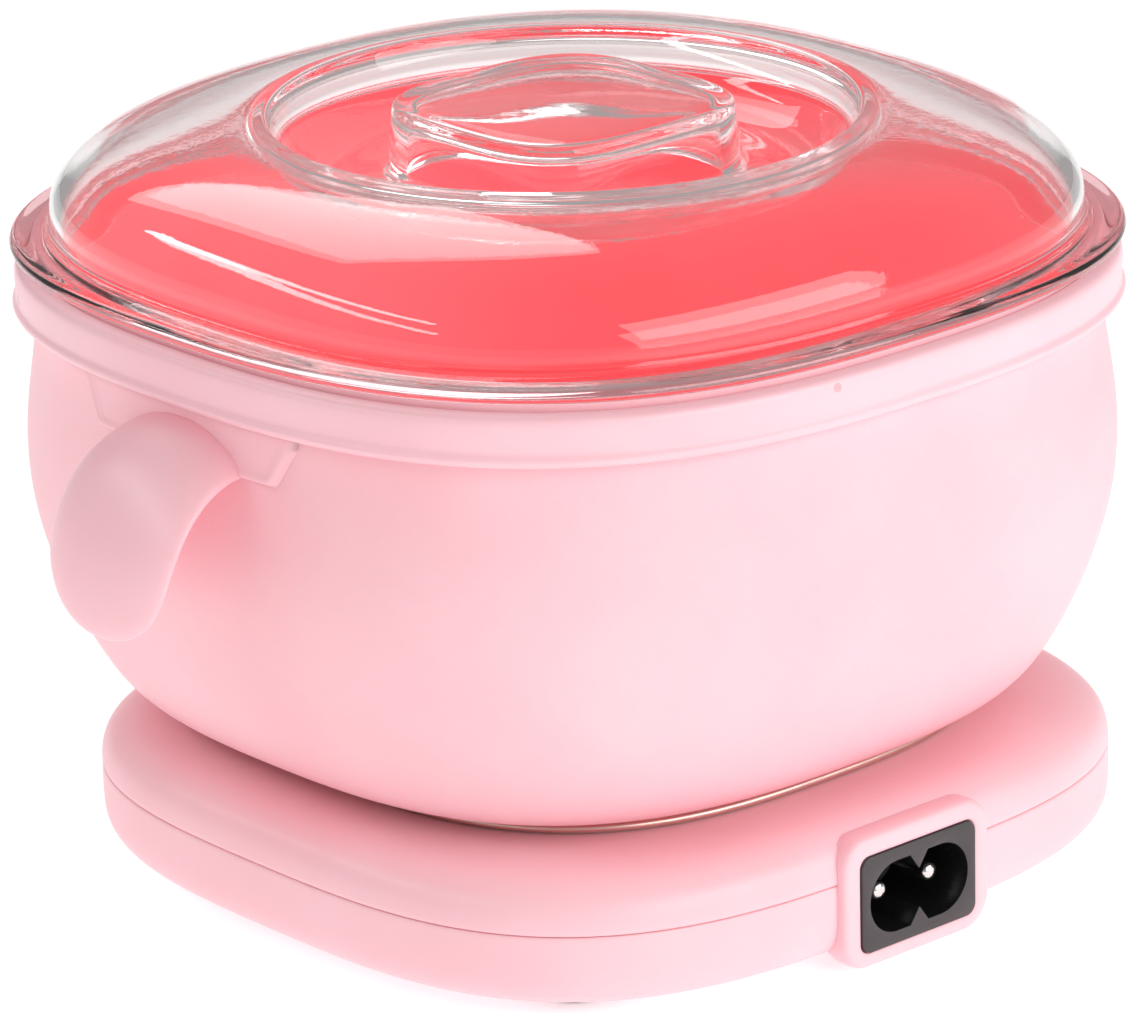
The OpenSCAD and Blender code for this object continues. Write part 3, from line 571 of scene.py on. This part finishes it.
# half width, squareness and height over the pot's bottom
POT_OUTSIDE = [
    (44.6, 2.78, 0.0), (48.2, 2.78, 0.6), (51.2, 2.78, 2.2), (53.6, 2.78, 4.6), (55.4, 2.78, 7.6),
    (57.2, 2.8, 11.4), (59.2, 2.8, 16.4), (60.9, 2.8, 21.8), (62.0, 2.8, 27.2), (62.4, 2.8, 32.7),
    (62.3, 2.78, 38.2), (61.8, 2.72, 44.2), (61.3, RIM_POWER, 50.2)]
POT_INSIDE = [
    (59.4, RIM_POWER, 53.4), (59.3, RIM_POWER, 49.2), (60.0, 2.78, 35.2), (59.0, 2.8, 24.2),
    (56.6, 2.8, 16.2), (53.9, 2.8, 10.0), (51.4, 2.78, 6.2), (48.2, 2.78, 3.9), (44.0, 2.78, 3.0),
    (30.0, 2.8, 3.0), (6.0, 2.8, 3.0)]


def make_pot_shell():
    rim = pot_high[2]
    rows = [ring(half, power, POT_BOTTOM + z) for half, power, z in
            [(6, 2.8, 1.6), (30, 2.8, 1.6), (37.6, 2.8, 1.6), (38.0, 2.8, 1.5), (38.0, 2.8, 0.15),
             (38.3, 2.8, 0.0), (41.5, 2.8, 0.0)] + POT_OUTSIDE]
    rows += [ring(half, RIM_POWER, z) for half, z in
             [(61.3, rim - 0.6), (61.25, rim - 0.15), (61.0, rim), (60.1, rim), (59.75, rim - 0.15),
              (59.7, rim - 0.6)]]
    inside_from = len(rows) - 2
    rows += [ring(half, power, POT_BOTTOM + z) for half, power, z in POT_INSIDE]
    # the bands inside the bowl take pot_inside, the coral copy with painted inter-reflection and a painted
    # glow
    obj = smooth(skin("pot_bowl", rows, parts=lambda band: 1 if band >= inside_from else 0))
    place(obj, "pot", [FINISH["pot_silicone"], FINISH["pot_inside"]], ["pot_shell"])


def make_rim_collar():
    low, top = rim_low[2], rim_high[2]
    profile = [
        (61.36, low + 0.1), (61.6, low), (RIM_HALF - 1.2, low), (RIM_HALF - 0.35, low + 0.3),
        (RIM_HALF, low + 0.9), (RIM_HALF - 0.05, low + 1.3), (RIM_HALF - 0.45, low + 1.8),
        (RIM_HALF - 0.5, low + 2.2), (RIM_HALF - 0.35, low + 4.2), (RIM_HALF - 0.4, top - 0.9),
        (RIM_HALF - 0.75, top - 0.25), (RIM_HALF - 1.6, top), (61.6, top), (61.36, top - 0.1)]
    rows = [ring(half, RIM_POWER, z) for half, z in profile]
    obj = smooth(skin("rim_band", rows, closed=True))
    place(obj, "pot", [FINISH["collar_plastic"]], ["rim_collar"])


def pot_wall(y, z):
    """How far out the pot's wall is at y and z, in millimetres."""
    rise = z - POT_BOTTOM
    for (h0, n0, z0), (h1, n1, z1) in zip(POT_OUTSIDE, POT_OUTSIDE[1:]):
        if z0 <= rise <= z1:
            part = (rise - z0) / (z1 - z0)
            half, power = h0 + part * (h1 - h0), n0 + part * (n1 - n0)
            break
    else:
        half, power = POT_OUTSIDE[-1][:2]
    return half * (1 - abs(y / half) ** power) ** (1 / power)


HANDLE_TOP = rim_low[2] - 0.1
TAB_SECTIONS = [
    # x, drop below the bracket's top, width, thickness, crown
    (60.6, 5.2, 22.4, 5.0, 2.8), (62.6, 5.3, 23.4, 4.4, 2.7), (65.4, 6.0, 24.6, 3.8, 2.5),
    (68.6, 7.8, 25.6, 3.4, 2.2), (71.3, 10.6, 26.2, 3.2, 1.8), (73.3, 14.0, 26.2, 3.1, 1.4),
    (74.5, 17.8, 25.2, 3.0, 1.1), (75.05, 21.0, 22.4, 2.8, 0.8),
    (75.35, 23.6, 17.6, 2.5, 0.5), (75.45, 25.3, 10.4, 2.0, 0.2), (75.5, 26.0, 4.2, 1.2, 0.0)]
TAB_POINTS = 40


def make_tab(name, side):
    """Curved finger tab, swept through arched sections."""
    centres = [Vector((x, 0, HANDLE_TOP - drop)) for x, drop, _, _, _ in TAB_SECTIONS]
    rows = []
    for i, (_, _, width, thick, crown) in enumerate(TAB_SECTIONS):
        run = (centres[min(i + 1, len(centres) - 1)] - centres[max(i - 1, 0)]).normalized()
        across = Vector((-run.z, 0, run.x))
        row = []
        for k in range(TAB_POINTS):
            turn = 2 * math.pi * k / TAB_POINTS
            c, s = math.cos(turn), math.sin(turn)
            r = (abs(c / (width / 2)) ** 3 + abs(s / (thick / 2)) ** 3) ** (-1 / 3)
            rise = r * s + crown * (0.6 - (2 * r * c / width) ** 2)
            point = centres[i] + Vector((0, r * c, 0)) + across * rise
            row.append(Vector((side * point.x, point.y, point.z)) * MM)
        rows.append(row)
    return smooth(skin(name, rows))


BRACKET_BACK = 60.25  # the plane of the bracket's flat back


def grid_border(grid):
    """Outer vertices of a grid, once round."""
    return grid[0] + [row[-1] for row in grid[1:]] + grid[-1][-2::-1] + [row[0] for row in grid[-2:0:-1]]


def make_bracket(name, side):
    """Trapezoid plate under the rim band that carries the tab, following the pot's wall."""
    top_half, low_half, height, proud = 20.6, 16.4, 6.8, 0.9
    columns, levels = 41, 15
    bm = bmesh.new()
    grid = []
    for i in range(levels):
        v = i / (levels - 1)
        z = HANDLE_TOP - height * v
        half = top_half + (low_half - top_half) * v
        row = []
        for j in range(columns):
            u = 2 * j / (columns - 1) - 1
            y = half * u
            edge = min((1 - abs(u)) * half, (1 - v) * height)
            lift = proud * (1 - max(0.0, 1 - edge / 0.5) ** 2)
            lip = 0.25 * math.exp(-((edge - 0.9) / 0.35) ** 2)
            x = pot_wall(y, z) + lift - 0.02 + lip
            row.append(bm.verts.new(Vector((side * x, y, z)) * MM))
        grid.append(row)
    back = [[bm.verts.new(Vector((side * BRACKET_BACK * MM, v.co.y, v.co.z))) for v in row] for row in grid]
    for i in range(levels - 1):
        for j in range(columns - 1):
            bm.faces.new((grid[i][j], grid[i][j + 1], grid[i + 1][j + 1], grid[i + 1][j]))
            bm.faces.new((back[i][j], back[i + 1][j], back[i + 1][j + 1], back[i][j + 1]))
    edge_front, edge_back = grid_border(grid), grid_border(back)
    for i in range(len(edge_front)):
        j = (i + 1) % len(edge_front)
        bm.faces.new((edge_front[i], edge_back[i], edge_back[j], edge_front[j]))
    bmesh.ops.recalc_face_normals(bm, faces=bm.faces)
    return shade_smooth(new_object(name, new_mesh(name, bm)))


def make_handles():
    for side, word in ((1, "right"), (-1, "left")):
        for piece in (make_tab("tab_" + word, side), make_bracket("bracket_" + word, side)):
            place(piece, "pot", [FINISH["handle_plastic"]], ["handle_" + word])


# ---------- lid ----------

def make_lid():
    floor_top = RING_TOP - WELL_DEPTH
    seat, top, r = LID_SEAT, RING_TOP, RING_RADIUS
    k = KNOB_HALF
    under = [
        (1, 2.6, floor_top + 6.9), (8, 2.6, floor_top + 6.95), (k - 3.2, 3.2, floor_top + 7.1),
        (k - 2.2, 3.4, floor_top + 6.9), (k - 1.8, 3.5, floor_top + 6.2), (k - 1.5, 3.6, floor_top + 0.2),
        (k - 1.4, 3.6, floor_top - 0.8), (k - 0.9, 3.6, floor_top - 1.5),
        (k + 0.4, 3.4, floor_top - 1.85), (23, 2.7, floor_top - 1.9), (26.5, 2.3, floor_top - 1.9),
        (31.4, 2.1, floor_top - 1.1), (33.7, 2, floor_top + 0.2), (35.2, 2, floor_top + 1.7),
        (36.6, 2, floor_top + 3.7), (r + 0.1, 2, top - 3.2), (r + 0.7, 2, top - 2.5),
        (r + 1.8, 2, top - 2.15), (43.4, 2.15, top - 2.5), (47.6, 2.35, top - 3.4),
        (51.4, 2.5, top - 4.9), (54.1, 2.6, top - 6.6), (56.1, RIM_POWER, top - 8.7),
        (57.2, RIM_POWER, top - 10.8), (57.5, RIM_POWER, top - 13)]
    skirt = [
        (57.6, seat + 1), (57.7, seat - 2.6), (57.9, seat - 3.1), (58.3, seat - 3.2), (58.8, seat - 3.2),
        (59.1, seat - 3.0), (59.25, seat - 2.4), (59.35, seat - 0.3), (59.6, seat), (60.4, seat),
        (RIM_HALF - 1.2, seat), (RIM_HALF - 0.4, seat + 0.1), (RIM_HALF, seat + 0.5),
        (RIM_HALF, seat + 1.2), (RIM_HALF - 0.4, seat + 1.7), (RIM_HALF - 1.0, seat + 1.9),
        (61.5, seat + 2.05), (60.3, seat + 2.2), (59.75, seat + 2.45), (59.5, seat + 3.0),
        (59.4, seat + 4.6)]
    over = [
        (59.1, RIM_POWER, top - 9.4), (57.9, RIM_POWER, top - 7.0), (55.7, 2.6, top - 4.8),
        (52.3, 2.5, top - 2.9), (48.0, 2.35, top - 1.4), (43.4, 2.15, top - 0.5),
        (r + 2.4, 2, top - 0.15), (r + 1.3, 2, top - 0.15), (r + 0.7, 2, top), (r, 2, top),
        (r - 0.6, 2, top - 0.1), (r - 1.0, 2, top - 0.7), (36, 2, top - 2.4), (35, 2, floor_top + 4.2),
        (33.8, 2, floor_top + 3), (32.2, 2, floor_top + 1.7), (30.4, 2.1, floor_top + 0.8),
        (28.2, 2.2, floor_top + 0.2), (26, 2.3, floor_top), (23, 2.7, floor_top),
        (k + 1.4, 3.3, floor_top + 0.05), (k + 0.6, 3.5, floor_top + 0.4),
        (k + 0.3, 3.6, floor_top + 1.2), (k, 3.6, floor_top + 8.1), (k - 0.25, 3.5, floor_top + 8.9),
        (k - 1.0, 3.4, floor_top + KNOB_RISE + 8.2), (k - 2.2, 3.0, floor_top + 9.1),
        (k - 6, 2.8, floor_top + 8.8), (1, 2.6, floor_top + 8.6)]
    rows = [ring(h, n, z) for h, n, z in under]
    rows += [ring(h, RIM_POWER, z) for h, z in skirt]
    rows += [ring(h, n, z) for h, n, z in over]
    obj = smooth(skin("lid_dome", rows))
    place(obj, "lid", [FINISH["lid_clear"]], ["lid_shell"])


# ---------- base ----------

def boss_frame(name, width, height, z, face, back, opening, opening_corner, side):
    """Raised rounded frame around a window in the housing, with a soft front edge."""
    out = []
    steps = [(0.0, back), (0.0, face - side * 1.0), (-0.12, face - side * 0.5), (-0.45, face - side * 0.12),
             (-1.0, face)]
    for grow, y in steps:
        out.append(frame_ring(width + 2 * grow, height + 2 * grow, 4.0, 0, y, z))
    w, h, zc = opening
    for grow, y in [(0.35, face), (0.08, face - side * 0.12), (0.0, face - side * 0.5), (0.0, back)]:
        out.append(frame_ring(w + 2 * grow, h + 2 * grow, opening_corner, 0, y, zc))
    return smooth(skin(name, out, closed=True), 1)


def inlet_window(depth):
    """Cutter for the inlet's window in a housing half, to a depth behind the boss's face."""
    return block_cutter(*INLET_WINDOW, 0, BOSS_MIDDLE, INLET_FACE - depth, INLET_FACE + 4)


def button_window(depth):
    """Cutter for the button panel's window in a housing half, to a depth behind its face."""
    return block_cutter(*BUTTON_WINDOW, 0, BUTTON_HEIGHT, BUTTON_FACE - 4, BUTTON_FACE + depth)


def make_base_top():
    seam = SEAM + 0.05
    top = BASE_TOP
    wall = HOUSING_WALL
    rows = [base_ring(g, z) for g, z in [
        (-0.3, seam), (-0.12, seam + 0.06), (0, seam + 0.3), (0, seam + 0.8), (-0.1, top - 4.4),
        (-0.37, top - 3.3), (-0.95, top - 2.2), (-1.83, top - 1.4), (-3.0, top - 0.7), (-4.5, top - 0.25),
        (-6.2, top - 0.05), (-8, top)]]
    rows += [plate_ring(h, z) for h, z in [
        (PLATE_HALF - 0.9, top), (PLATE_HALF - 1.2, top - 0.1), (41.4, top - 0.1),
        (PLATE_OPENING, top - 0.3), (PLATE_OPENING, top - 2.4)]]
    rows += [base_ring(g, z) for g, z in [
        (-8.8, top - 2.4), (-5.4, top - 3.0), (-wall - 1.2, top - 4.4), (-wall, seam + 0.8), (-wall, seam)]]
    shell = smooth(skin("housing_top", rows, closed=True))
    cut(shell, [inlet_window(14), button_window(9)])
    place(shell, "base", [FINISH["base_plastic"]], ["base_top_housing"])
    rear = boss_frame("inlet_surround", BOSS_WIDTH, BOSS_HEIGHT, BOSS_MIDDLE, INLET_FACE,
                      INLET_FACE - 5.1, (SOCKET_WIDTH + 0.1, SOCKET_HEIGHT + 0.1, INLET_HEIGHT), 1.55, 1)
    place(rear, "base", [FINISH["base_plastic"]], ["base_top_housing"])
    front = boss_frame("button_surround", 30.0, 14.4, BUTTON_HEIGHT, BUTTON_FACE,
                       BUTTON_FACE + 4.0, (BEZEL_WIDTH + 0.1, BEZEL_HEIGHT + 0.1, BUTTON_HEIGHT), 3.0, -1)
    place(front, "base", [FINISH["base_plastic"]], ["base_top_housing"])


def make_base_bottom():
    low, seam, wall = BASE_BOTTOM, SEAM, HOUSING_WALL
    rows = [ring(3, 2, low, BASE_SHIFT), base_ring(-30, low), base_ring(-6.5, low)]
    rows += [base_ring(g, z) for g, z in [
        (-4.7, low + 0.05), (-2.6, low + 0.5), (-1.1, low + 1.6), (-0.25, low + 3.2), (0, low + 4.8),
        (0, seam - 0.8), (0, seam - 0.3), (-0.12, seam - 0.06), (-0.3, seam), (-wall, seam),
        (-wall, low + 4.7), (-wall - 1.2, low + 3.1), (-wall - 3.4, low + 2.2)]]
    rows += [base_ring(-34, low + 2.2), ring(3, 2, low + 2.2, BASE_SHIFT)]
    shell = smooth(skin("housing_bottom", rows))
    socket_bed = block_cutter(SOCKET_WIDTH + 0.2, SOCKET_HEIGHT + 0.2, 1.6, 0, INLET_HEIGHT,
                              socket_low[1] - 0.2, INLET_FACE)
    cut(shell, [inlet_window(5), socket_bed, button_window(6)])
    place(shell, "base", [FINISH["base_plastic"]], ["base_bottom_housing"])


def make_plate():
    half, top, low = PLATE_HALF, PLATE_TOP, BASE_TOP
    rows = [plate_ring(h, z) for h, z in [
        (3, low - 2.7), (38, low - 2.7), (40.4, low - 2.7), (PLATE_CORE, low - 2.5),
        (PLATE_CORE, low + 0.02), (half - 1.0, low + 0.02), (half - 0.35, low + 0.15),
        (half - 0.05, low + 0.5), (half, low + 0.85),
        (half - 0.15, top - 0.35), (half - 0.55, top - 0.08), (half - 1.2, top), (30, top), (3, top)]]
    obj = smooth(skin("plate", rows))
    place(obj, "base", [FINISH["plate_metal"]], ["heating_plate"])


# ---------- inlet and controls ----------

CAVITY_WIDTH, CAVITY_HEIGHT, CAVITY_DEPTH = 16.6, 9.2, 12.5
NOTCH_HALF, NOTCH_DEPTH = 1.5, 2.1


def eight_ring(y, z):
    """Figure of eight with a notch top and bottom, standing in the XZ plane, in metres."""
    end = CAVITY_HEIGHT / 2
    offset = (CAVITY_WIDTH - CAVITY_HEIGHT) / 2
    out = []
    for side in (1, -1):
        for i in range(33):
            turn = math.pi * (i / 32 - 0.5)
            out.append((side * (offset + end * math.cos(turn)), side * end * math.sin(turn)))
        out += [(side * NOTCH_HALF, side * end), (0, side * (end - NOTCH_DEPTH)),
                (-side * NOTCH_HALF, side * end)]
    return [Vector((x, y, z + h)) * MM for x, h in out]


def make_socket():
    face, back, z = socket_high[1], socket_low[1], INLET_HEIGHT
    body = skin("inlet_body", [frame_ring(SOCKET_WIDTH, SOCKET_HEIGHT, 1.5, 0, y, z) for y in (back, face)])
    cut(body, [skin("cutter", [eight_ring(y, z) for y in (face - CAVITY_DEPTH, face + 2)])])
    crisp(body, 0.22)
    # faces deep in the cavity take socket_black, a much darker copy of the socket plastic: painted shade in
    # the recess
    for polygon in body.data.polygons:
        spot = polygon.center / MM
        inside = abs(spot.x) < CAVITY_WIDTH / 2 + 0.02 and abs(spot.z - z) < CAVITY_HEIGHT / 2 + 0.02
        polygon.material_index = 1 if inside and face - CAVITY_DEPTH - 0.1 < spot.y < face - 0.3 else 0
    place(body, "base", [FINISH["socket_grey"], FINISH["socket_black"]], ["inlet_socket"])
    pins = []
    for side in (-1, 1):
        x, tip = side * PIN_OFFSET, face - 2.25
        profile = [(1.0, back - 1.5), (1.0, face - 12.4), (1.2, face - 12.3), (1.2, tip - 0.75),
                   (1.12, tip - 0.45), (0.9, tip - 0.18), (0.55, tip - 0.03), (0.2, tip)]
        pins.append(skin("pin", [rod_ring(r, x, y, z, 32) for r, y in profile]))
        pins.append(skin("tag", [frame_ring(0.8, 2.4, 0.2, x, y, z, 16) for y in (back - 4.6, back - 1.2)]))
    contacts = crisp(join("inlet_contacts", pins), 0.05, 50)
    place(contacts, "base", [FINISH["pin_nickel"]], ["inlet_pins"])


def make_controls():
    z, front, back = BUTTON_HEIGHT, bezel_low[1], bezel_high[1]
    panel = skin("control_panel", [frame_ring(BEZEL_WIDTH, BEZEL_HEIGHT, 3, 0, y, z, 64)
                                   for y in (back, front)])
    cutters = [rod_cutter(3.75, 0, z, front - 1, back + 1)]
    cutters += [rod_cutter(1.25, side * LIGHT_OFFSET, z, front - 1, back + 1) for side in (-1, 1)]
    cut(panel, cutters)
    place(crisp(panel, 0.25), "base", [FINISH["bezel_white"]], ["control_bezel"])
    low, high = button_low[1], button_high[1]
    profile = [(1.3, high - 0.03), (1.3, high - 2.6), (4.6, high - 2.65), (4.6, high - 3.1),
               (3.6, high - 3.2), (3.6, low + 0.9), (3.5, low + 0.5), (3.15, low + 0.16),
               (2.6, low + 0.03), (2.1, low + 0.1), (1.2, low + 0.24), (0.3, low + 0.3)]
    cap = smooth(skin("button_cap", [rod_ring(r, 0, y, z) for r, y in profile]))
    place(cap, "button", [FINISH["button_white"]], ["power_button"])
    domes = []
    for side in (-1, 1):
        steps = [(1.2, lens_high[1]), (1.2, lens_low[1] + 0.5), (1.0, lens_low[1] + 0.2),
                 (0.55, lens_low[1] + 0.05), (0.1, lens_low[1] + 0.02)]
        domes.append(skin("lens", [rod_ring(r, side * LIGHT_OFFSET, y, z, 32) for r, y in steps]))
    lenses = shade_smooth(join("light_lenses", domes))
    place(lenses, "base", [FINISH["led_resin"]], ["led_lenses"])


def make_underside():
    low, high = node_box("rubber_feet")
    radius = FOOT_RADIUS
    foot = turned("foot", [(0.5, low[2] + 0.25), (2.4, low[2] + 0.22), (3.2, low[2]), (radius - 0.7, low[2]),
                           (radius - 0.2, low[2] + 0.2), (radius, low[2] + 0.7), (radius, high[2]),
                           (0.5, high[2])])
    middle = ((low[0] + high[0]) / 2, (low[1] + high[1]) / 2, 0)
    feet = at_four_corners("feet", crisp(foot, 0.05), high[0] - low[0] - 2 * radius,
                           high[1] - low[1] - 2 * radius, middle, FINISH["foot_rubber"])
    place(feet, "base", [FINISH["foot_rubber"]], ["rubber_feet"])
    low, high = node_box("housing_screws")
    head = (high[0] - low[0]) / 2 - SCREW_X
    screw = turned("screw", [(0.4, low[2]), (head - 1.0, low[2] + 0.05), (head - 0.35, low[2] + 0.35),
                             (head, low[2] + 0.9), (head, low[2] + 1.6), (1.25, low[2] + 1.7),
                             (1.25, high[2] - 0.8), (0.3, high[2])], points=32)
    slots = [skin("cutter", [frame_ring(w, 1.6, 0.2, 0, y, low[2], 16) for y in (-d, d)])
             for w, d in ((3.4, 0.35), (0.7, 1.7))]
    cut(screw, slots)
    middle = ((low[0] + high[0]) / 2, (low[1] + high[1]) / 2, 0)
    screws = at_four_corners("case_screws", crisp(screw, 0.06), 2 * SCREW_X, high[1] - low[1] - 2 * head,
                             middle, FINISH["zinc_steel"])
    place(screws, "base", [FINISH["zinc_steel"]], ["housing_screws"])


# ---------- stage ----------

def make_camera():
    azimuth, elevation, roll = math.radians(41.35), math.radians(19.36), math.radians(-1.45)
    distance, aim_height, aim_side = 867.8, 42.79, -0.5
    back = Vector((math.sin(azimuth) * math.cos(elevation), math.cos(azimuth) * math.cos(elevation),
                   math.sin(elevation)))
    level = Vector((-math.cos(azimuth), math.sin(azimuth), 0))
    up = back.cross(level)
    target = level * aim_side + Vector((0, 0, aim_height))
    right = level * math.cos(roll) + up * math.sin(roll)
    above = up * math.cos(roll) - level * math.sin(roll)
    data = bpy.data.cameras.new("camera")
    data.sensor_width = 36.0
    data.lens = 216.85
    data.clip_end = 20.0
    camera = new_object("camera", data)
    camera.matrix_world = Matrix.Translation((target + back * distance) * MM) @ Matrix(
        (right, above, back)).transposed().to_4x4()
    bpy.context.scene.camera = camera


def area_light(name, place_at, size, power, colour=(1, 1, 1), aim=(0, 0, 0.05)):
    data = bpy.data.lights.new(name, "AREA")
    data.shape = "RECTANGLE"
    data.size, data.size_y = size
    data.energy = power
    data.color = colour
    lamp = new_object(name, data)
    lamp.location = place_at
    lamp.rotation_euler = (Vector(aim) - Vector(place_at)).to_track_quat("-Z", "Y").to_euler()


def around(turn, lift, distance):
    """Place at a compass turn from +Y towards +X, a lift in degrees and a distance in metres."""
    turn, lift = math.radians(turn), math.radians(lift)
    return (distance * math.sin(turn) * math.cos(lift), distance * math.cos(turn) * math.cos(lift),
            0.06 + distance * math.sin(lift))


def make_stage():
    scene = bpy.context.scene
    scene.view_settings.view_transform = "Standard"
    scene.cycles.max_bounces = 40
    scene.cycles.transmission_bounces = 32
    scene.cycles.glossy_bounces = 32
    world = bpy.data.worlds.new("studio")
    scene.world = world
    world.use_nodes = True
    sky = world.node_tree.nodes["Background"]
    sky.inputs["Color"].default_value = (1.0, 0.985, 0.985, 1)
    sky.inputs["Strength"].default_value = 0.36
    bm = bmesh.new()
    bmesh.ops.create_grid(bm, x_segments=1, y_segments=1, size=4.0)
    floor = new_object("floor", new_mesh("floor", bm))
    paper = moulded("paper", (0.93, 0.925, 0.925), (0.92, 0.915, 0.915), 0.8, bump=0.0)
    glow = paper.node_tree.nodes["Principled BSDF"]
    glow.inputs["Emission Color"].default_value = (1, 1, 1, 1)
    glow.inputs["Emission Strength"].default_value = 0.45
    floor.data.materials.append(paper)
    # a wide soft box beside the inlet, a long strip beyond the tab, and a faint fill from behind
    area_light("soft_box", around(-12, 21, 1.05), (1.1, 0.6), 7.5, (1, 0.985, 0.98))
    area_light("strip", around(122, 37, 1.0), (1.25, 0.06), 2.6)
    area_light("fill", around(200, 45, 1.1), (0.6, 0.5), 2.0)


# ---------- build ----------

make_camera()
make_stage()
dress_cad_nodes()
make_pot_shell()
make_rim_collar()
make_handles()
make_lid()
make_base_top()
make_base_bottom()
make_plate()
make_socket()
make_controls()
make_underside()
